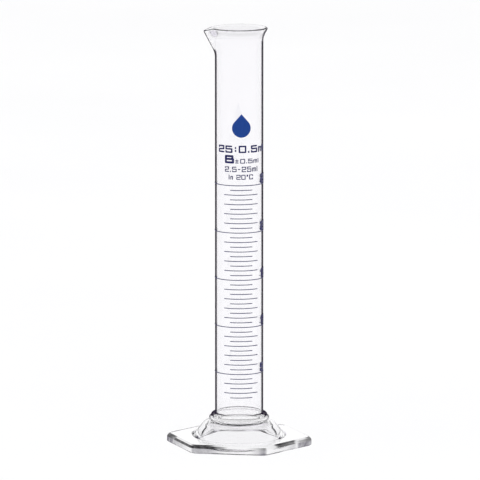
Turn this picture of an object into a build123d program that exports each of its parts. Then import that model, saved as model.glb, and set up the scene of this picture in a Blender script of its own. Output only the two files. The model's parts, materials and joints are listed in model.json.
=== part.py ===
from build123d import *
import math
import os

# A 25 ml measuring cylinder of clear borosilicate glass: a drawn tube with a flared mouth and a pulled spout,
# fused by a bead of glass to a pressed hexagonal foot, with a fired-on enamel scale.
# Millimetres, +Z up. The origin is the centre of the foot's underside, on the tube's axis.
# The scale is read from -Y, and the spout points to -X.

# Driving dimensions of the glass.
total_height = 171.5
bore_radius = 9.05
wall = 0.8
tube_radius = bore_radius + wall

foot_corner_radius = 30.6  # centre to the sharp corner of the hexagon
foot_corner_rounding = 4.5
foot_turn = -9.3  # degrees from +X to the nearest corner
plate_thickness = 3.6
plate_top_rounding = 1.3
plate_bottom_rounding = 0.7
boss_base_radius = 19.4
boss_top_radius = 14.4
boss_height = 9.0
hollow_base_radius = 17.3
hollow_top_radius = 12.2
hollow_height = 8.4

bottom_thickness = 1.24
outer_corner_radius = 4.6
inner_corner_radius = 3.46
corner_top = boss_height + 4.3
collar_radius = 12.2
collar_waist_radius = 11.95
collar_top = 13.5

mouth_height = 13.0  # the length of tube that is worked hot into the mouth
mouth_step = 0.01  # the worked wall is this much thinner on each side
section_step = 1.0  # the mouth's shape is set at every millimetre of its height
flare_height = 4.0
flare_reach = 1.75
lip_thickness = 1.1
lip_rounding = 0.35
spout_height = 12.1
spout_curve = 3.4  # the height over which the wall bends out into the spout
spout_slope = 0.53
spout_spread = 17.0  # degrees
spout_dip_start = 8.0
spout_dip_radius = 22.0

# Driving dimensions of the enamel.
enamel = 0.1
line_width = 0.3
scale_azimuth = -84.4  # the middle of the scale, in degrees from +X
ring_half_angle = 108.0
millilitre_half_angle = 43.3
half_millilitre_half_angle = 27.2
capacity = 25

# The bore's floor and the height of the liquid for a volume in millilitres.
bore_floor = boss_height + bottom_thickness
bore_area = math.pi * bore_radius**2
floor_radius = bore_radius - inner_corner_radius
corner_volume = math.pi * (
    floor_radius**2 * inner_corner_radius
    + floor_radius * inner_corner_radius**2 * math.pi / 2
    + inner_corner_radius**3 * 2 / 3
)


def liquid_height(millilitres):
    """Height of the liquid surface above the origin's plane."""
    above_corner = (millilitres * 1000 - corner_volume) / bore_area
    return bore_floor + inner_corner_radius + above_corner


def radial_plane(azimuth):
    """The half-plane through the axis at an azimuth: x is the radius and y the height."""
    turn = math.radians(azimuth)
    outward = (math.cos(turn), math.sin(turn), 0)
    return Plane(origin=(0, 0, 0), x_dir=outward, z_dir=(math.sin(turn), -math.cos(turn), 0))


def tangent_plane(azimuth, height):
    """The plane that touches the tube at an azimuth and a height, seen from outside with +Z up."""
    turn = math.radians(azimuth)
    outward = Vector(math.cos(turn), math.sin(turn), 0)
    rightward = (-math.sin(turn), math.cos(turn), 0)
    return Plane(origin=outward * tube_radius + Vector(0, 0, height), x_dir=rightward, z_dir=outward)


# The foot: a hexagonal plate with a conical boss, hollow underneath.
with BuildPart() as hex_foot:
    with BuildSketch() as plate_outline:
        RegularPolygon(foot_corner_radius, 6, rotation=foot_turn)
        fillet(plate_outline.vertices(), foot_corner_rounding)
    extrude(amount=plate_thickness)
    plate_top = hex_foot.faces().sort_by(Axis.Z)[-1]
    fillet(plate_top.edges(), plate_top_rounding)
    plate_underside = hex_foot.faces().sort_by(Axis.Z)[0]
    fillet(plate_underside.edges(), plate_bottom_rounding)
    with BuildSketch(Plane.XZ):
        with BuildLine():
            Line((0, 0.5 * plate_thickness), (0, boss_height))
            Line((0, boss_height), (boss_top_radius, boss_height))
            ThreePointArc(
                (boss_top_radius, boss_height),
                (16.75, 6.45),
                (boss_base_radius, plate_thickness - 0.02),
            )
            Line((boss_base_radius, plate_thickness - 0.02), (boss_base_radius, 0.5 * plate_thickness))
            Line((boss_base_radius, 0.5 * plate_thickness), (0, 0.5 * plate_thickness))
        make_face()
    revolve(axis=Axis.Z)
    with BuildSketch(Plane.XZ):
        with BuildLine():
            Line((0, 0), (0, hollow_height))
            Line((0, hollow_height), (hollow_top_radius - 1.8, hollow_height))
            ThreePointArc(
                (hollow_top_radius - 1.8, hollow_height),
                (hollow_top_radius - 0.35, hollow_height - 0.5),
                (hollow_top_radius + 0.6, hollow_height - 1.5),
            )
            Line((hollow_top_radius + 0.6, hollow_height - 1.5), (hollow_base_radius, 0))
            Line((hollow_base_radius, 0), (0, 0))
        make_face()
    revolve(axis=Axis.Z, mode=Mode.SUBTRACT)
hex_foot.part.label = "hex_foot"

# The collar: the bead of glass between the tube's rounded bottom corner and the foot.
corner_centre = tube_radius - outer_corner_radius
corner_sweep = math.asin((corner_top - boss_height) / outer_corner_radius)
tube_bottom_radius = corner_centre + outer_corner_radius * math.cos(corner_sweep)
corner_middle = (
    corner_centre + outer_corner_radius * math.cos(corner_sweep / 2),
    corner_top - outer_corner_radius * math.sin(corner_sweep / 2),
)
with BuildPart() as weld_collar:
    with BuildSketch(Plane.XZ):
        with BuildLine():
            Line((tube_bottom_radius, boss_height), (boss_top_radius, boss_height))
            ThreePointArc((boss_top_radius, boss_height), (12.9, 9.8), (collar_waist_radius, 10.4))
            ThreePointArc((collar_waist_radius, 10.4), (collar_radius, 11.1), (11.5, 11.9))
            ThreePointArc((11.5, 11.9), (11.1, 12.75), (tube_radius, collar_top))
            Line((tube_radius, collar_top), (tube_radius, corner_top))
            ThreePointArc((tube_radius, corner_top), corner_middle, (tube_bottom_radius, boss_height))
        make_face()
    revolve(axis=Axis.Z)
weld_collar.part.label = "weld_collar"


def ease(value):
    """Rises smoothly from 0 to 1 as the value does."""
    return value * value * (3 - 2 * value)


def spout_pull(below_rim):
    """How far the spout's middle line stands out from the tube: a bend, then a straight slope."""
    rise = max(spout_height - below_rim, 0)
    if rise < spout_curve:
        return spout_slope * rise * rise / (2 * spout_curve)
    return spout_slope * (rise - spout_curve / 2)


def mouth_outline(height, inside):
    """The wall's outline at a height in the mouth: a circle that opens with the flare, pulled out at the spout."""
    below_rim = total_height - height
    opened = 1 - ease(min(max(below_rim / flare_height, 0), 1))
    flare = flare_reach * opened
    radius = tube_radius - mouth_step
    if inside:
        plain_wall = wall - 2 * mouth_step
        radius -= plain_wall + (lip_thickness - plain_wall) * opened
    points = []
    for degrees in range(0, 360, 10):
        off_spout = (degrees - 180) / spout_spread
        share = math.exp(-off_spout * off_spout)
        reach = radius + flare * (1 - share) + spout_pull(below_rim) * share
        turn = math.radians(degrees)
        points.append((reach * math.cos(turn), reach * math.sin(turn)))
    return points


mouth_start = total_height - mouth_height
blank_top = total_height + section_step
section_count = round((mouth_height + section_step) / section_step) + 1
mouth_sections = [mouth_start + section_step * index for index in range(section_count)]

# The tube: closed at the bottom, straight up to the mouth, with a lip that dips at the spout.
with BuildPart() as measuring_tube:
    with BuildSketch(Plane.XZ):
        with BuildLine():
            Line((0, boss_height), (tube_bottom_radius, boss_height))
            ThreePointArc((tube_bottom_radius, boss_height), corner_middle, (tube_radius, corner_top))
            Polyline(
                (tube_radius, corner_top),
                (tube_radius, mouth_start),
                (bore_radius, mouth_start),
                (bore_radius, bore_floor + inner_corner_radius),
            )
            RadiusArc(
                (bore_radius, bore_floor + inner_corner_radius),
                (floor_radius, bore_floor),
                inner_corner_radius,
            )
            Polyline((floor_radius, bore_floor), (0, bore_floor), (0, boss_height))
        make_face()
    revolve(axis=Axis.Z)
    for height in mouth_sections:
        with BuildSketch(Plane.XY.offset(height)):
            with BuildLine():
                Spline(*mouth_outline(height, inside=False), periodic=True)
            make_face()
    loft()
    for height in mouth_sections:
        with BuildSketch(Plane.XY.offset(height)):
            with BuildLine():
                Spline(*mouth_outline(height, inside=True), periodic=True)
            make_face()
    loft(mode=Mode.SUBTRACT)
    with BuildSketch(Plane.XZ):
        with BuildLine():
            dip_end = -spout_dip_start - spout_dip_radius
            dip = CenterArc(
                (-spout_dip_start, total_height - spout_dip_radius), spout_dip_radius, 90, 60
            )
            Polyline(
                dip @ 1,
                (dip_end, blank_top + 1),
                (2 * tube_radius, blank_top + 1),
                (2 * tube_radius, total_height),
                dip @ 0,
            )
        make_face()
    extrude(amount=2 * tube_radius, both=True, mode=Mode.SUBTRACT)
    lip_edges = measuring_tube.edges().filter_by(lambda edge: edge.center().Z > total_height - 3)
    fillet(lip_edges, lip_rounding)
measuring_tube.part.label = "measuring_tube"


def mark_profiles(volumes, half_angle):
    """The cross-sections of the enamel lines at some volumes, where the lines start."""
    with BuildSketch(radial_plane(scale_azimuth - half_angle)) as profiles:
        for volume in volumes:
            with Locations((tube_radius + enamel / 2, liquid_height(volume))):
                Rectangle(enamel, line_width)
    return profiles.sketch


ring_volumes = range(5, capacity + 1, 5)
ring_marks = []
for volume in ring_volumes:
    with BuildPart() as ring_mark:
        revolve(mark_profiles([volume], ring_half_angle), Axis.Z, 2 * ring_half_angle)
    ring_mark.part.label = f"ring_mark_{volume:02d}"
    ring_marks.append(ring_mark.part)

millilitre_volumes = [volume for volume in range(3, capacity) if volume % 5]
with BuildPart() as millilitre_marks:
    revolve(mark_profiles(millilitre_volumes, millilitre_half_angle), Axis.Z, 2 * millilitre_half_angle)
millilitre_marks.part.label = "millilitre_marks"

half_volumes = [volume + 0.5 for volume in range(2, capacity)]
with BuildPart() as half_millilitre_marks:
    revolve(
        mark_profiles(half_volumes, half_millilitre_half_angle), Axis.Z, 2 * half_millilitre_half_angle
    )
half_millilitre_marks.part.label = "half_millilitre_marks"

# Each character is a few strokes on a grid that is one unit wide and one unit high.
strokes = {
    "0": [[(0, 0), (0, 1), (1, 1), (1, 0), (0, 0)]],
    "1": [[(0.25, 0.8), (0.6, 1), (0.6, 0)]],
    "2": [[(0, 0.78), (0, 1), (1, 1), (1, 0.52), (0, 0.42), (0, 0), (1, 0)]],
    "5": [[(0.95, 1), (0, 1), (0, 0.56), (1, 0.56), (1, 0), (0, 0), (0, 0.2)]],
    "B": [
        [(0, 0.5), (0, 1), (0.92, 1), (0.92, 0.54), (0, 0.54)],
        [(0, 0.54), (1, 0.54), (1, 0), (0, 0), (0, 0.54)],
    ],
    "C": [[(1, 0.78), (1, 1), (0, 1), (0, 0), (1, 0), (1, 0.22)]],
    "I": [[(0.5, 0), (0.5, 1)]],
    "n": [[(0.1, 0), (0.1, 0.7), (0.9, 0.7), (0.9, 0)]],
    "m": [[(0, 0), (0, 0.7), (1, 0.7), (1, 0)], [(0.5, 0), (0.5, 0.7)]],
    "l": [[(0.5, 0), (0.5, 1)]],
    "±": [[(0.5, 0.3), (0.5, 0.9)], [(0.15, 0.6), (0.85, 0.6)], [(0.15, 0.05), (0.85, 0.05)]],
    "°": [[(0.3, 0.85), (0.3, 1), (0.65, 1), (0.65, 0.7), (0.3, 0.7), (0.3, 0.85)]],
    "-": [[(0.15, 0.5), (0.85, 0.5)]],
    ".": [[(0.5, 0), (0.5, 0.09)]],
    ":": [[(0.5, 0.2), (0.5, 0.29)], [(0.5, 0.7), (0.5, 0.79)]],
}
narrow_characters = {"I": 0.3, "l": 0.3, ".": 0.3, ":": 0.45, "°": 0.6, " ": 0.45, "1": 0.6, "-": 0.7, "n": 0.7}


def character_sketch(character, azimuth, base_height, width, height, line):
    """A character drawn on the plane that touches the tube at an azimuth."""
    across = width - line
    up = height - line
    with BuildSketch(tangent_plane(azimuth, base_height)) as drawing:
        for stroke in strokes[character]:
            points = [Vector((x - 0.5) * across, line / 2 + y * up) for x, y in stroke]
            for start, end in zip(points, points[1:]):
                run = end - start
                direction = math.degrees(math.atan2(run.Y, run.X))
                with Locations((start + end) / 2):
                    SlotCenterToCenter(run.length, line, rotation=direction)
    return drawing.sketch


def text_row(text, start_azimuth, base_height, size, line, width_ratio, gap):
    """A row of enamel characters that starts at an azimuth and reads anticlockwise round the tube."""
    cursor = 0
    with BuildPart() as row:
        for character in text:
            width = size * width_ratio * narrow_characters.get(character, 1)
            if character != " ":
                middle = start_azimuth + math.degrees((cursor + width / 2) / tube_radius)
                drawing = character_sketch(character, middle, base_height, width, size, line)
                extrude(drawing, amount=1, both=True)
            cursor += width + gap
        with BuildSketch(Plane.XY.offset(base_height - 1)):
            Circle(tube_radius + enamel)
            Circle(tube_radius, mode=Mode.SUBTRACT)
        extrude(amount=size + 2, mode=Mode.INTERSECT)
    return row.part


numerals = []
for volume in ring_volumes:
    numeral = text_row(str(volume), -31.5, liquid_height(volume) + 0.45, 3.7, 0.95, 0.95, 0.75)
    numeral.label = f"numeral_{volume:02d}"
    numerals.append(numeral)

header_rows = {
    "capacity_mark": text_row("25:0.5ml", -145.6, 121.3, 3.0, 0.62, 1.05, 0.55),
    "class_mark": text_row("B", -125.4, 117.0, 3.4, 0.85, 1.18, 0.5),
    "tolerance_mark": text_row("±0.5ml", -101, 117.0, 1.9, 0.34, 1.05, 0.35),
    "range_mark": text_row("2.5-25ml", -125.4, 113.5, 2.2, 0.36, 0.85, 0.38),
    "temperature_mark": text_row("In 20°C", -115.8, 110.4, 2.0, 0.34, 0.88, 0.25),
}
for name, row in header_rows.items():
    row.label = name

# The emblem: a plain drop.
emblem_base = 127.6
drop_radius = 3.8
drop_height = 9.6
with BuildPart() as drop_emblem:
    with BuildSketch(tangent_plane(scale_azimuth, emblem_base + drop_radius)) as drop_outline:
        with BuildLine():
            side = math.degrees(math.acos(drop_radius / (drop_height - drop_radius)))
            body = CenterArc((0, 0), drop_radius, 90 + side, 360 - 2 * side)
            Polyline(body @ 1, (0, drop_height - drop_radius), body @ 0)
        make_face()
    extrude(amount=2, both=True)
    with BuildSketch(Plane.XY.offset(emblem_base - 1)):
        Circle(tube_radius + enamel)
        Circle(tube_radius, mode=Mode.SUBTRACT)
    extrude(amount=drop_height + 2, mode=Mode.INTERSECT)
drop_emblem.part.label = "drop_emblem"

os.makedirs("parts", exist_ok=True)
pieces = [hex_foot.part, weld_collar.part, measuring_tube.part, drop_emblem.part]
pieces += [millilitre_marks.part, half_millilitre_marks.part]
pieces += ring_marks + numerals + list(header_rows.values())
for piece in pieces:
    export_step(piece, f"parts/{piece.label}.step")
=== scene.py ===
import json
import math

import bpy
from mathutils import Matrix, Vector


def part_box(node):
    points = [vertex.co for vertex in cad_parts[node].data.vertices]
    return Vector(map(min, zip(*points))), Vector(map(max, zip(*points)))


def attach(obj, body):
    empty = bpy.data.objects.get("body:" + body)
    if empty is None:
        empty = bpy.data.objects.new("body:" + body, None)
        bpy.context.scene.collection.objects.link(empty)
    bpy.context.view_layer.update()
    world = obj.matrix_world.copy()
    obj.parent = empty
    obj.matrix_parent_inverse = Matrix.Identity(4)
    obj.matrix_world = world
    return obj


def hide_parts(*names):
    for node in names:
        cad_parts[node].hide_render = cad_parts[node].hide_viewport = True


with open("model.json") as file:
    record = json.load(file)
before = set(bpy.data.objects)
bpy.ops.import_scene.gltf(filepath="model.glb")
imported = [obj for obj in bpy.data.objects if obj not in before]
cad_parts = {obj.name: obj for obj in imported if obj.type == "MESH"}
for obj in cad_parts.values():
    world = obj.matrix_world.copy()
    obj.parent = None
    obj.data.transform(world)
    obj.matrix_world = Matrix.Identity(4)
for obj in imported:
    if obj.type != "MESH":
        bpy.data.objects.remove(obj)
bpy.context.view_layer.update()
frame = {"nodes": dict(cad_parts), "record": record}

# Sizes are in millimetres here and scaled to metres when a mesh is made.
MM = 0.001
record = frame["record"]
bore_mount = next(m for m in record["mounts"] if m["name"] == "measuring_bore")
bore_radius = bore_mount["dims"]["r_mm"]
wall = 0.8
tube_radius = bore_radius + wall
total_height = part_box("measuring_tube")[1].z / MM
boss_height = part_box("hex_foot")[1].z / MM
collar_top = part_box("weld_collar")[1].z / MM

bore_floor = boss_height + 1.24
outer_corner_radius = 4.6
inner_corner_radius = 3.46
corner_top = boss_height + 4.3

boss_top_radius = 14.4
boss_base_radius = 19.4
plate_thickness = 3.6
plate_top_bevel = 1.3
plate_bottom_bevel = 0.7
hollow_base_radius = 17.3
hollow_top_radius = 12.2
hollow_height = 8.4
corner_rounding = 4.5
foot_corner_radius = 30.6
foot_turn = -9.3

SIDES = 6
CORNER_STEPS = 16
SIDE_STEPS = 32
AROUND = SIDES * (CORNER_STEPS + SIDE_STEPS)


# ---------------------------------------------------------------- mesh tools

def arc(centre, radius, start, end, steps):
    """Points on an arc in a profile, from one angle to another in degrees."""
    points = []
    for index in range(steps + 1):
        angle = math.radians(start + (end - start) * index / steps)
        points.append((centre[0] + radius * math.cos(angle), centre[1] + radius * math.sin(angle)))
    return points


def straight(start, end, steps):
    """Points on a straight line in a profile, both ends included."""
    return [
        (start[0] + (end[0] - start[0]) * i / steps, start[1] + (end[1] - start[1]) * i / steps)
        for i in range(steps + 1)
    ]


def bezier(p0, p1, p2, p3, steps):
    """Points on a cubic curve in a profile, both ends included."""
    points = []
    for index in range(steps + 1):
        t = index / steps
        u = 1 - t
        points.append(tuple(
            u**3 * a + 3 * u * u * t * b + 3 * u * t * t * c + t**3 * d
            for a, b, c, d in zip(p0, p1, p2, p3)
        ))
    return points


def joined(*runs):
    """One profile from several runs whose ends meet."""
    points = list(runs[0])
    for run in runs[1:]:
        points += run[1:]
    return points


def ring(radius, height):
    """A level circle of points about the axis."""
    return [
        (radius * math.cos(math.tau * i / AROUND), radius * math.sin(math.tau * i / AROUND), height)
        for i in range(AROUND)
    ]


def skin(name, rows, materials, bands, looped=False, sharp=50):
    """A mesh through rows of points round the axis. A row of one point is a pole.

    bands pairs a range of rows with the slot of the material on the faces that follow those rows."""
    vertices = []
    starts = []
    for row in rows:
        starts.append(len(vertices))
        vertices += [tuple(MM * value for value in point) for point in row]
    faces = []
    slots = []
    count = len(rows)
    for index in range(count if looped else count - 1):
        upper = (index + 1) % count
        a, b = starts[index], starts[upper]
        slot = next((number for band, number in bands if index in band), 0)
        for i in range(AROUND):
            j = (i + 1) % AROUND
            if len(rows[index]) == 1:
                faces.append((a, b + j, b + i))
            elif len(rows[upper]) == 1:
                faces.append((a + i, a + j, b))
            else:
                faces.append((a + i, a + j, b + j, b + i))
            slots.append(slot)
    mesh = bpy.data.meshes.new(name)
    mesh.from_pydata(vertices, [], faces)
    for material in materials:
        mesh.materials.append(material)
    mesh.polygons.foreach_set("material_index", slots)
    mesh.polygons.foreach_set("use_smooth", [True] * len(faces))
    mesh.set_sharp_from_angle(angle=math.radians(sharp))
    mesh.update()
    piece = bpy.data.objects.new(name, mesh)
    bpy.context.collection.objects.link(piece)
    return piece


# ---------------------------------------------------------------- materials

def node_material(name):
    """An empty node material, its tree and its output."""
    material = bpy.data.materials.new(name)
    material.use_nodes = True
    tree = material.node_tree
    tree.nodes.clear()
    output = tree.nodes.new("ShaderNodeOutputMaterial")
    return material, tree, output


def noise(tree, scale, detail=3.0, stretch=(1, 1, 1)):
    """A noise texture in object space, in which stretch squeezes or draws out the pattern."""
    coordinates = tree.nodes.new("ShaderNodeTexCoord")
    mapping = tree.nodes.new("ShaderNodeMapping")
    mapping.inputs["Scale"].default_value = stretch
    texture = tree.nodes.new("ShaderNodeTexNoise")
    texture.inputs["Scale"].default_value = scale
    texture.inputs["Detail"].default_value = detail
    tree.links.new(coordinates.outputs["Object"], mapping.inputs["Vector"])
    tree.links.new(mapping.outputs["Vector"], texture.inputs["Vector"])
    return texture


def ramp(tree, source, stops):
    """A colour ramp fed by a socket. Stops are (position, colour) pairs."""
    node = tree.nodes.new("ShaderNodeValToRGB")
    elements = node.color_ramp.elements
    while len(elements) < len(stops):
        elements.new(0.5)
    for element, (position, colour) in zip(elements, stops):
        element.position = position
        element.color = (*colour, 1)
    tree.links.new(source, node.inputs["Fac"])
    return node


def bump(tree, source, strength, distance):
    """A bump node fed by a height socket."""
    node = tree.nodes.new("ShaderNodeBump")
    node.inputs["Strength"].default_value = strength
    node.inputs["Distance"].default_value = distance
    tree.links.new(source, node.inputs["Height"])
    return node


def grey_ramp(tree, source, stops):
    """A ramp of greys fed by a socket. Stops are (position, value) pairs."""
    return ramp(tree, source, [(position, (value,) * 3) for position, value in stops])


def azimuth_ramp(tree, shares):
    """A grey ramp round the axis: shares gives (azimuth in degrees, value) pairs."""
    coordinates = tree.nodes.new("ShaderNodeTexCoord")
    around = tree.nodes.new("ShaderNodeTexGradient")
    around.gradient_type = "RADIAL"
    tree.links.new(coordinates.outputs["Object"], around.inputs["Vector"])
    placed = [((azimuth + 180) / 360, share) for azimuth, share in shares]
    return grey_ramp(tree, around.outputs["Fac"], placed)


def product(tree, one, other):
    """The product of two sockets."""
    node = tree.nodes.new("ShaderNodeMath")
    node.operation = "MULTIPLY"
    tree.links.new(one, node.inputs[0])
    tree.links.new(other, node.inputs[1])
    return node.outputs["Value"]


GLASS_IOR = 1.473
GLASS_TINT = (0.984, 0.980, 0.992, 1)
# Dark matt colour mixed into glass walls as painted shade where they turn away, in place of the dark
# surroundings real glass refracts there.
PAINTED_EDGE_SHADE = (0.016, 0.009, 0.026, 1)

# A ripple in glass is its stretch along the axes, its scale and its height in metres.
DRAWN_RIPPLE = ((1, 1, 0.08), 160.0, 0.0000006)
MELTED_RIPPLE = ((1, 1, 1), 140.0, 0.000001)
PRESSED_RIPPLE = ((1, 1, 1), 140.0, 0.000002)


def glass_shader(tree):
    """The clear borosilicate glass in every glass material."""
    shader = tree.nodes.new("ShaderNodeBsdfPrincipled")
    shader.inputs["Base Color"].default_value = GLASS_TINT
    shader.inputs["Roughness"].default_value = 0.0
    shader.inputs["IOR"].default_value = GLASS_IOR
    shader.inputs["Transmission Weight"].default_value = 1.0
    return shader


def with_painted_shade(tree, shader, share, dark):
    """A glass shader mixed with a dark matt one as painted shade. A socket gives the share of painted shade.
    """
    shade = tree.nodes.new("ShaderNodeBsdfDiffuse")
    shade.inputs["Color"].default_value = dark
    mix = tree.nodes.new("ShaderNodeMixShader")
    tree.links.new(share, mix.inputs["Fac"])
    tree.links.new(shader.outputs["BSDF"], mix.inputs[1])
    tree.links.new(shade.outputs["BSDF"], mix.inputs[2])
    return mix.outputs["Shader"]


def glass_material(name, ripple, edge=None, weights=None):
    """Clear glass with a faint ripple, and painted shade at its edges when edge is given.

    edge gives how much painted shade, a dark matt share standing in for refracted dark surroundings, a curved
    wall
    takes as it turns away: (facing, share) pairs. weights gives (azimuth in degrees, weight of the facing
    value) pairs, for a wall that isn't alike all round."""
    material, tree, output = node_material(name)
    shader = glass_shader(tree)
    stretch, scale, height = ripple
    waves = noise(tree, scale, 2.0, stretch)
    surface = bump(tree, waves.outputs["Fac"], 1.0, height)
    tree.links.new(surface.outputs["Normal"], shader.inputs["Normal"])
    if not edge:
        tree.links.new(shader.outputs["BSDF"], output.inputs["Surface"])
        return material
    facing = tree.nodes.new("ShaderNodeLayerWeight")
    facing.inputs["Blend"].default_value = 0.5
    turned = facing.outputs["Facing"]
    if weights:
        turned = product(tree, turned, azimuth_ramp(tree, weights).outputs["Color"])
    share = grey_ramp(tree, turned, edge)
    shaded = with_painted_shade(tree, shader, share.outputs["Color"], PAINTED_EDGE_SHADE)
    tree.links.new(shaded, output.inputs["Surface"])
    return material


def painted_shade_glass_material(name, dark, shares, unevenness=0.35):
    """Glass with painted shade at its edge, dark or grey in places where real glass refracts dark
    surroundings.

    shares gives (azimuth in degrees, share of painted shade) pairs, fixed to the object whatever the light. A
    mottle makes the painted shade patchy; unevenness sets how much."""
    material, tree, output = node_material(name)
    shader = glass_shader(tree)
    share = azimuth_ramp(tree, shares)
    mottle = noise(tree, 420.0, 2.0)
    patches = grey_ramp(tree, mottle.outputs["Fac"], [(0.32, 1 - unevenness), (0.62, 1.0)])
    blend = product(tree, share.outputs["Color"], patches.outputs["Color"])
    shaded = with_painted_shade(tree, shader, blend, dark)
    tree.links.new(shaded, output.inputs["Surface"])
    return material


def seam_material():
    """Where two pieces of glass are fused there is no surface, so light goes straight on."""
    material, tree, output = node_material("fused_seam")
    clear = tree.nodes.new("ShaderNodeBsdfTransparent")
    tree.links.new(clear.outputs["BSDF"], output.inputs["Surface"])
    return material


def enamel_material(name, colour, lighter):
    """Fired-on enamel: a dense pigment with a faint mottle and a low, slightly uneven gloss."""
    material, tree, output = node_material(name)
    shader = tree.nodes.new("ShaderNodeBsdfPrincipled")
    shader.inputs["IOR"].default_value = 1.5
    shader.inputs["Specular IOR Level"].default_value = 0.25
    mottle = noise(tree, 2600.0, 4.0)
    pigment = ramp(tree, mottle.outputs["Fac"], [(0.35, colour), (0.7, lighter)])
    gloss = grey_ramp(tree, mottle.outputs["Fac"], [(0.3, 0.28), (0.75, 0.5)])
    grain = bump(tree, mottle.outputs["Fac"], 0.35, 0.00002)
    tree.links.new(pigment.outputs["Color"], shader.inputs["Base Color"])
    tree.links.new(gloss.outputs["Color"], shader.inputs["Roughness"])
    tree.links.new(grain.outputs["Normal"], shader.inputs["Normal"])
    tree.links.new(shader.outputs["BSDF"], output.inputs["Surface"])
    return material


tube_glass = glass_material("tube_glass", DRAWN_RIPPLE)
# Painted shade: the tube's wall and mouth, the collar and the weld take a dark matt share where they turn
# away, standing in for the dark edges that real glass refracts.
wall_glass_painted_shade = glass_material(
    "wall_glass_painted_shade", DRAWN_RIPPLE,
    edge=[(0.22, 0), (0.40, 0.03), (0.57, 0.05), (0.65, 0.95), (0.97, 0.95)],
)
mouth_glass_painted_shade = glass_material(
    "mouth_glass_painted_shade", DRAWN_RIPPLE,
    edge=[(0.22, 0), (0.38, 0.03), (0.50, 0.06), (0.60, 0.90), (0.97, 0.92)],
    weights=[
        (-180, 1), (-172, 1), (-166, 0.1), (-128, 0.1), (-115, 0.82), (115, 0.82), (128, 0.1), (166, 0.1),
        (172, 1), (180, 1),
    ],
)
collar_glass_painted_shade = glass_material("collar_glass_painted_shade", MELTED_RIPPLE, edge=[(0.62, 0), (0.80, 0.80), (0.97, 0.90)])
weld_glass_painted_shade = glass_material("weld_glass_painted_shade", MELTED_RIPPLE, edge=[(0.50, 0), (0.60, 0.95), (0.97, 0.97)])
# Painted shade: dark bands fixed round the axis on the lip, standing in for the dark lines that a real lip
# refracts.
lip_glass_painted_shade = painted_shade_glass_material(
    "lip_glass_painted_shade", (0.035, 0.032, 0.045, 1),
    [
        (-180, 0.98), (-166, 0.97), (-158, 0.85), (-120, 0.80), (-90, 0.66), (-60, 0.82), (-45, 0.96),
        (-28, 0.96), (-20, 0.30), (0, 0.15), (14, 0.12), (90, 0.08), (150, 0.08), (172, 0.20), (180, 0.98),
    ],
    0.15,
)
# Painted shade: dark or grey bands fixed round the axis on the foot's bevels, rim and hollow's rim, standing
# in for the dark refractions of a real pressed foot.
bevel_glass_painted_shade = painted_shade_glass_material(
    "bevel_glass_painted_shade", (0.012, 0.011, 0.014, 1),
    [
        (-180, 0.94), (-172, 0.85), (-167, 0.04), (-133, 0.06), (-129, 0.98), (-116, 0.97), (-112, 0.30),
        (-104, 0.04), (-78, 0.02), (-66, 0.05), (-59, 0.15), (-56, 0.97), (-31, 0.95), (-27, 0.10),
        (-17, 0.14),
        (-12, 0.80), (2, 0.70), (8, 0.05), (50, 0.08), (58, 0.55), (74, 0.08), (118, 0.08), (128, 0.50),
        (142, 0.08), (160, 0.20), (168, 0.85), (180, 0.92),
    ],
    0.12,
)
low_bevel_glass_painted_shade = painted_shade_glass_material(
    "low_bevel_glass_painted_shade", (0.012, 0.011, 0.014, 1),
    [
        (-180, 0.92), (-172, 0.70), (-168, 0.90), (-133, 0.92), (-129, 0.98), (-112, 0.96), (-104, 0.50),
        (-100, 0.04), (-84, 0.03), (-75, 0.36), (-69.5, 0.86), (-67.6, 0.06), (-58, 0.15), (-54, 0.90),
        (-33, 0.85),
        (-29, 0.12), (-24, 0.55), (-9, 0.90), (2, 0.80), (8, 0.05), (120, 0.08), (130, 0.45), (142, 0.08),
        (160, 0.30), (167, 0.90), (180, 0.92),
    ],
    0.12,
)
rim_glass_painted_shade = painted_shade_glass_material(
    "rim_glass_painted_shade", (0.070, 0.060, 0.100, 1),
    [
        (-180, 0.80), (-172, 0.66), (-160, 0.45), (-146, 0.26), (-131, 0.10), (-129, 0.70), (-119, 0.60),
        (-108, 0.30), (-96, 0.04), (-82, 0.06), (-75, 0.42), (-69.5, 0.94), (-67.8, 0.05), (-60, 0.10),
        (-42, 0.20), (-32, 0.45), (-29, 0.10), (-26, 0.82), (-12, 0.86), (-8, 0.98), (3, 0.97), (8, 0.08),
        (60, 0.10),
        (110, 0.10), (150, 0.08), (162, 0.50), (169, 0.92), (176, 0.86), (180, 0.62),
    ],
)
hollow_rim_glass_painted_shade = painted_shade_glass_material(
    "hollow_rim_glass_painted_shade", (0.03, 0.025, 0.03, 1),
    [
        (-180, 0.85), (-165, 0.45), (-140, 0.22), (-90, 0.25), (-40, 0.22), (-15, 0.45), (0, 0.85),
        (20, 0.92), (90, 0.80), (160, 0.95), (180, 0.85),
    ],
    0.25,
)
foot_glass = glass_material("foot_glass", PRESSED_RIPPLE)
fused_seam = seam_material()
navy = enamel_material("navy_enamel", (0.006, 0.007, 0.080), (0.012, 0.014, 0.125))
blue = enamel_material("blue_enamel", (0.002, 0.042, 0.250), (0.005, 0.058, 0.310))


# ---------------------------------------------------------------- measuring tube

LIP_RADIUS = 0.52
LIP_STEPS = 18
MOUTH_STEPS = 26
LIP_ARC = (-30, 158)
lip_centre_radius = 11.06
mouth_start = total_height - 13.0
flare_start = total_height - 5.2
spout_height = 12.1
spout_curve = 3.4
spout_slope = 0.53
spout_spread = 17.0
spout_dip = 1.2


def spout_pull(below_rim):
    """How far the spout's middle line stands out from the tube: a bend, then a straight slope."""
    rise = max(spout_height - below_rim, 0)
    if rise < spout_curve:
        return spout_slope * rise * rise / (2 * spout_curve)
    return spout_slope * (rise - spout_curve / 2)


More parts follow.
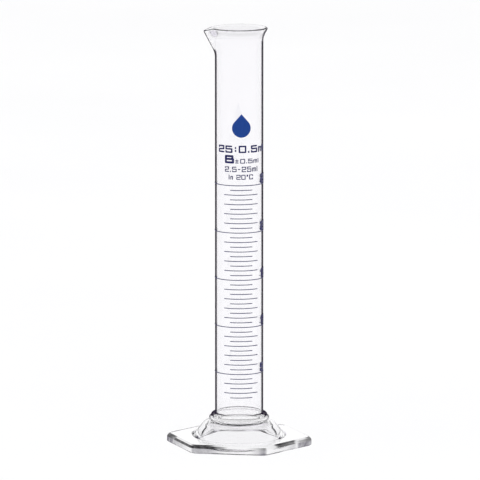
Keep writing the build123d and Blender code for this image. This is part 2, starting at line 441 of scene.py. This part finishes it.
def round_mouth_profile():
    """The mouth away from the spout: up the outside, over the lip and down the inside."""
    lip_curve = arc((lip_centre_radius, total_height - LIP_RADIUS), LIP_RADIUS, *LIP_ARC, LIP_STEPS)
    outside = joined(
        straight((tube_radius, mouth_start), (tube_radius, flare_start), MOUTH_STEPS // 2),
        bezier(
            (tube_radius, flare_start), (tube_radius, total_height - 3.4), (11.15, total_height - 1.7),
            lip_curve[0], MOUTH_STEPS // 2,
        ),
    )
    inside = joined(
        bezier(
            lip_curve[-1], (10.3, total_height - 1.35), (bore_radius, total_height - 3.2),
            (bore_radius, flare_start), MOUTH_STEPS // 2,
        ),
        straight((bore_radius, flare_start), (bore_radius, mouth_start), MOUTH_STEPS // 2),
    )
    return joined(outside, lip_curve, inside)


def spout_profile():
    """The mouth along the middle of the spout, with the same number of points."""
    lip_height = total_height - spout_dip - LIP_RADIUS
    lean = math.degrees(math.atan(spout_slope))
    lip_reach = LIP_RADIUS / math.cos(math.radians(lean))
    tip = tube_radius + spout_pull(total_height - lip_height) - lip_reach
    lip_curve = arc((tip, lip_height), LIP_RADIUS, -lean, 180 - lean, LIP_STEPS)
    outside = []
    inside = []
    for index in range(MOUTH_STEPS + 1):
        t = index / MOUTH_STEPS
        height = mouth_start + (lip_curve[0][1] - mouth_start) * t
        outside.append((tube_radius + spout_pull(total_height - height), height))
    outside[-1] = lip_curve[0]
    for index in range(MOUTH_STEPS + 1):
        t = index / MOUTH_STEPS
        height = lip_curve[-1][1] + (mouth_start - lip_curve[-1][1]) * t
        thickness = wall + (2 * lip_reach - wall) * (1 - t) ** 4
        inside.append((tube_radius + spout_pull(total_height - height) - thickness, height))
    inside[0] = lip_curve[-1]
    return joined(outside, lip_curve, inside)


def mouth_rows():
    """Rings through the mouth: the round profile drawn towards the spout's profile near the spout."""
    rows = []
    for plain, pulled in zip(round_mouth_profile(), spout_profile()):
        row = []
        for i in range(AROUND):
            turn = math.tau * i / AROUND
            off = (math.degrees(turn) - 180) / spout_spread
            share = math.exp(-off * off)
            radius = plain[0] + (pulled[0] - plain[0]) * share
            height = plain[1] + (pulled[1] - plain[1]) * share
            row.append((radius * math.cos(turn), radius * math.sin(turn), height))
        rows.append(row)
    return rows


WALL_STEPS = 18
CORNER_ARC_STEPS = 14
pole_ring_radius = 3.0
corner_centre = tube_radius - outer_corner_radius
corner_drop = math.degrees(math.asin((corner_top - boss_height) / outer_corner_radius))
outer_corner = arc((corner_centre, corner_top), outer_corner_radius, -corner_drop, 0, CORNER_ARC_STEPS)
seam_profile = [(pole_ring_radius, boss_height)] + outer_corner + [(tube_radius, collar_top)]
wall_profile = straight((tube_radius, collar_top), (tube_radius, mouth_start), WALL_STEPS)
inner_centre = (bore_radius - inner_corner_radius, bore_floor + inner_corner_radius)
inner_corner = arc(inner_centre, inner_corner_radius, 0, -90, WALL_STEPS)
bore_profile = joined(
    straight((bore_radius, mouth_start), inner_corner[0], WALL_STEPS), inner_corner,
    [inner_corner[-1], (pole_ring_radius, bore_floor)],
)

tube_rows = [[(0, 0, boss_height)]]
tube_rows += [ring(*point) for point in seam_profile]
seam_count = len(tube_rows) - 1
tube_rows += [ring(*point) for point in wall_profile[1:-1]]
tube_rows += mouth_rows()
tube_rows += [ring(*point) for point in bore_profile[1:]]
tube_rows += [[(0, 0, bore_floor)]]
# The lip's glass, with its painted shade, starts and ends a few rows inside the lip's arc.
mouth_bottom = seam_count + len(wall_profile) - 1
flare_bottom = mouth_bottom + MOUTH_STEPS // 2
lip_bottom = mouth_bottom + MOUTH_STEPS
painted_shade_lip = range(lip_bottom + 4, lip_bottom + 15)
glass_tube = skin(
    "glass_tube", tube_rows, [tube_glass, wall_glass_painted_shade, fused_seam, mouth_glass_painted_shade, lip_glass_painted_shade],
    [
        (range(seam_count), 2),
        (range(seam_count, flare_bottom), 1),
        (painted_shade_lip, 4),
        (range(flare_bottom, painted_shade_lip.start), 3),
    ],
)
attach(glass_tube, "root")
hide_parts("measuring_tube")


# ---------------------------------------------------------------- collar

WELD_STEPS = 10
SHOULDER_STEPS = 6
BEAD_STEPS = 14
FLARE_STEPS = 10
shoulder_top = (11.2, 12.75)
shoulder_bottom = (11.5, 11.95)
waist = (11.95, 10.4)
bead_profile = joined(
    bezier((tube_radius, collar_top), (tube_radius + 0.05, 13.1), (10.7, 13.3), shoulder_top, WELD_STEPS),
    bezier(shoulder_top, (11.5, 12.4), (11.45, 12.1), shoulder_bottom, SHOULDER_STEPS),
    bezier(shoulder_bottom, (12.3, 11.7), (12.45, 10.8), waist, BEAD_STEPS),
    bezier(waist, (12.0, 10.2), (13.2, 9.9), (boss_top_radius, boss_height), FLARE_STEPS),
)
collar_profile = list(reversed(bead_profile))
collar_rows = [ring(*point) for point in collar_profile]
bead_count = len(collar_rows) - 1
collar_rows += [ring(*point) for point in reversed(outer_corner)]
# The collar's bead, shoulder and weld take glass with painted shade at their edges; its flare takes plain
# glass.
glass_collar = skin(
    "glass_collar", collar_rows, [collar_glass_painted_shade, fused_seam, foot_glass, weld_glass_painted_shade],
    [
        (range(FLARE_STEPS), 2),
        (range(FLARE_STEPS + BEAD_STEPS, bead_count), 3),
        (range(bead_count, len(collar_rows)), 1),
    ],
    looped=True,
)
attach(glass_collar, "root")
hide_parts("weld_collar")


# ---------------------------------------------------------------- foot

def foot_outline(inset, height):
    """The hexagon with rounded corners at a height, moved in from the edge by an inset."""
    apothem = foot_corner_radius * math.cos(math.pi / SIDES)
    core = (apothem - corner_rounding) / math.cos(math.pi / SIDES)
    reach = corner_rounding - inset
    row = []
    for side in range(SIDES):
        corner = math.radians(foot_turn + 60 * side)
        following = corner + math.pi / 3
        here = Vector((math.cos(corner), math.sin(corner))) * core
        there = Vector((math.cos(following), math.sin(following))) * core
        for step in range(CORNER_STEPS):
            turn = corner + math.pi / 3 * (step / CORNER_STEPS - 0.5)
            row.append(here + reach * Vector((math.cos(turn), math.sin(turn))))
        middle = corner + math.pi / 6
        normal = Vector((math.cos(middle), math.sin(middle)))
        for step in range(SIDE_STEPS):
            row.append(here.lerp(there, step / SIDE_STEPS) + reach * normal)
    return [(point.x, point.y, height) for point in row]


# The outline starts half a corner before the first corner. Its points are matched to a ring's nearest points.
outline_lag = round((foot_turn - 30) / 360 * AROUND)


def matched(row):
    """The outline's points in the order of a ring's points, so that the strips between them don't twist."""
    shift = (-outline_lag) % AROUND
    return row[shift:] + row[:shift]


def spread_row(inner_radius, share, height, inset):
    """A row part of the way from a ring to the foot's outline."""
    inner = ring(inner_radius, height)
    outer = matched(foot_outline(inset, height))
    return [tuple(a + (b - a) * share for a, b in zip(near, far)) for near, far in zip(inner, outer)]


PLATE_SHARES = (0.15, 0.4, 0.7, 1.0)
LAND_SHARES = (0.6, 0.25)
BOSS_STEPS = 22
BEVEL_STEPS = 10
EDGE_STEPS = 6
HOLLOW_RIM_STEPS = 6
HOLLOW_STEPS = 12
boss_profile = bezier(
    (boss_top_radius, boss_height), (15.9, 7.9), (17.5, 5.1), (boss_base_radius, plate_thickness), BOSS_STEPS
)
foot_rows = [[(0, 0, boss_height)], ring(5.0, boss_height)]
foot_seam = len(foot_rows)
foot_rows += [ring(*point) for point in boss_profile]
foot_rows += [spread_row(boss_base_radius, share, plate_thickness, plate_top_bevel) for share in PLATE_SHARES]
bevel_profile = bezier(
    (plate_top_bevel, plate_thickness), (0.95, plate_thickness), (0.1, 2.75), (0, 2.25), BEVEL_STEPS
)
bevel_start = len(foot_rows) - 1
foot_rows += [matched(foot_outline(*point)) for point in bevel_profile[1:]]
rim_start = len(foot_rows) - 1
bevel_middle = (bevel_start + rim_start) // 2
foot_edge = arc((plate_bottom_bevel, plate_bottom_bevel), plate_bottom_bevel, 180, 270, EDGE_STEPS)
foot_rows += [matched(foot_outline(*point)) for point in foot_edge]
rim_end = len(foot_rows) - 1
land_inner = hollow_base_radius + 0.4
foot_rows += [spread_row(land_inner, share, 0, plate_bottom_bevel) for share in LAND_SHARES]
hollow_rim_start = len(foot_rows)
hollow_foot = (hollow_base_radius - 0.4, 0.55)
hollow_shoulder = (hollow_top_radius + 0.8, hollow_height - 1.7)
hollow_profile = joined(
    bezier(
        (land_inner, 0), (hollow_base_radius + 0.05, 0), (hollow_base_radius - 0.1, 0.15), hollow_foot,
        HOLLOW_RIM_STEPS,
    ),
    straight(hollow_foot, hollow_shoulder, HOLLOW_STEPS),
    bezier(
        hollow_shoulder, (hollow_top_radius, hollow_height - 0.7), (hollow_top_radius - 0.9, hollow_height),
        (hollow_top_radius - 2.6, hollow_height), HOLLOW_STEPS,
    ),
)
foot_rows += [ring(*point) for point in hollow_profile]
foot_rows += [ring(4.0, hollow_height), [(0, 0, hollow_height)]]
foot_rows.reverse()
last_row = len(foot_rows) - 1
# The foot's bevels, rim and hollow's rim take glass with painted shade in bands.
glass_foot = skin(
    "glass_foot", foot_rows,
    [foot_glass, fused_seam, bevel_glass_painted_shade, rim_glass_painted_shade, hollow_rim_glass_painted_shade, low_bevel_glass_painted_shade],
    [
        (range(last_row - foot_seam, last_row), 1),
        (range(last_row - rim_start, last_row - bevel_middle), 5),
        (range(last_row - bevel_middle, last_row - bevel_start), 2),
        (range(last_row - rim_end, last_row - rim_start), 3),
        (range(last_row - hollow_rim_start - HOLLOW_RIM_STEPS, last_row - hollow_rim_start), 4),
    ],
)
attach(glass_foot, "root")
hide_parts("hex_foot")

# The glass neither shades the floor under it nor casts a shadow.
for piece in (glass_tube, glass_collar, glass_foot):
    piece.visible_shadow = False
    piece.visible_diffuse = False


# ---------------------------------------------------------------- enamel

for name, node in frame["nodes"].items():
    if name in ("measuring_tube", "weld_collar", "hex_foot"):
        continue
    finish = blue if name == "drop_emblem" else navy
    node.data.materials.clear()
    node.data.materials.append(finish)


# ---------------------------------------------------------------- floor, light and camera

def floor_material():
    """A plain pale floor with the faintest mottle."""
    material, tree, output = node_material("pale_floor")
    shader = tree.nodes.new("ShaderNodeBsdfPrincipled")
    shader.inputs["Roughness"].default_value = 1.0
    shader.inputs["Specular IOR Level"].default_value = 0.0
    paper = noise(tree, 3.0)
    tone = ramp(tree, paper.outputs["Fac"], [(0.3, (0.90, 0.90, 0.905)), (0.7, (0.92, 0.92, 0.92))])
    tree.links.new(tone.outputs["Color"], shader.inputs["Base Color"])
    tree.links.new(shader.outputs["BSDF"], output.inputs["Surface"])
    return material


# The floor is a hair above zero, so that nothing dark shows in a gap under the plate.
FLOOR_RADIUS = 9.0
FLOOR_LIFT = 0.00002
FLOOR_SIDES = 96
floor_mesh = bpy.data.meshes.new("floor")
turns = [math.tau * i / FLOOR_SIDES for i in range(FLOOR_SIDES)]
rim = [(FLOOR_RADIUS * math.cos(turn), FLOOR_RADIUS * math.sin(turn), FLOOR_LIFT) for turn in turns]
floor_mesh.from_pydata(rim, [], [tuple(range(FLOOR_SIDES))])
floor_mesh.materials.append(floor_material())
floor = bpy.data.objects.new("floor", floor_mesh)
bpy.context.collection.objects.link(floor)

scene = bpy.context.scene
scene.view_settings.view_transform = "Standard"
scene.cycles.max_bounces = 40
scene.cycles.transmission_bounces = 40
scene.cycles.glossy_bounces = 24
scene.cycles.transparent_max_bounces = 96
scene.cycles.sample_clamp_indirect = 4.0


WHITE = (1.0, 1.0, 1.0)
DARK = (0.02, 0.02, 0.024)
MAUVE = (0.80, 0.78, 0.84)
CARD_GAP = [(-0.02, 0.0), (0.05, 1.0), (0.22, 1.0), (0.30, 0.0)]


def half_range(tree, source):
    """A direction's component, from -1 to 1, brought to the range of a ramp."""
    node = tree.nodes.new("ShaderNodeMath")
    node.operation = "MULTIPLY_ADD"
    node.inputs[1].default_value = 0.5
    node.inputs[2].default_value = 0.5
    tree.links.new(source, node.inputs[0])
    return node.outputs["Value"]


def direction_ramp(tree, source, stops):
    """A ramp over a direction's component: stops gives (component, colour) pairs."""
    placed = [((component + 1) / 2, colour) for component, colour in stops]
    return ramp(tree, half_range(tree, source), placed)


def height_ramp(tree, source, horizon):
    """White under and over a narrow band at the horizon, and a dark ceiling over that."""
    heights = [(-0.03, WHITE), (-0.015, horizon), (0.09, horizon), (0.13, WHITE), (0.30, WHITE), (0.42, DARK)]
    return direction_ramp(tree, source, heights)


def studio_world():
    """A soft white surround, with dark cards along the horizon and a dark ceiling.

    The cards draw part of the dark lines in the foot; painted shade in the foot's glass draws the rest. The
    pale gap in the cards keeps the spout's crease clear."""
    world = bpy.data.worlds.new("studio")
    world.use_nodes = True
    tree = world.node_tree
    tree.nodes.clear()
    output = tree.nodes.new("ShaderNodeOutputWorld")
    background = tree.nodes.new("ShaderNodeBackground")
    coordinates = tree.nodes.new("ShaderNodeTexCoord")
    parts = tree.nodes.new("ShaderNodeSeparateXYZ")
    tree.links.new(coordinates.outputs["Generated"], parts.inputs["Vector"])
    cards = height_ramp(tree, parts.outputs["Z"], DARK)
    open_part = height_ramp(tree, parts.outputs["Z"], MAUVE)
    across = half_range(tree, parts.outputs["X"])
    gap = grey_ramp(tree, across, [((x + 1) / 2, value) for x, value in CARD_GAP])
    mix = tree.nodes.new("ShaderNodeMixRGB")
    tree.links.new(gap.outputs["Color"], mix.inputs["Fac"])
    tree.links.new(cards.outputs["Color"], mix.inputs["Color1"])
    tree.links.new(open_part.outputs["Color"], mix.inputs["Color2"])
    tree.links.new(mix.outputs["Color"], background.inputs["Color"])
    background.inputs["Strength"].default_value = 1.05
    tree.links.new(background.outputs["Background"], output.inputs["Surface"])
    return world


scene.world = studio_world()


def area_light(name, size, power, position, target):
    """A soft square light that lights surfaces but isn't seen itself."""
    light = bpy.data.lights.new(name, "AREA")
    light.size = size
    light.energy = power
    lamp = bpy.data.objects.new(name, light)
    lamp.location = position
    lamp.rotation_euler = (Vector(target) - Vector(position)).to_track_quat("-Z", "Y").to_euler()
    lamp.visible_camera = False
    lamp.visible_glossy = False
    lamp.visible_transmission = False
    bpy.context.collection.objects.link(lamp)
    return lamp


LIGHT_SIZE = 12.0
LIGHT_POWER = 590.0
LIGHT_HEIGHT = 4.0
area_light("overhead", LIGHT_SIZE, LIGHT_POWER, (0, 0, LIGHT_HEIGHT), (0, 0, 0))

CAMERA_DISTANCE = 2.5
CAMERA_HEIGHT = 0.475
AIM = Vector((0.00036, 0, 0.08415))
VIEW_WIDTH = 0.1956
SENSOR = 36.0
camera_data = bpy.data.cameras.new("camera")
camera_data.sensor_width = SENSOR
camera = bpy.data.objects.new("camera", camera_data)
camera.location = (AIM.x, -CAMERA_DISTANCE, CAMERA_HEIGHT)
sight = AIM - camera.location
camera.rotation_euler = sight.to_track_quat("-Z", "Y").to_euler()
camera_data.lens = SENSOR * sight.length / VIEW_WIDTH
camera_data.clip_end = 30.0
bpy.context.collection.objects.link(camera)
scene.camera = camera
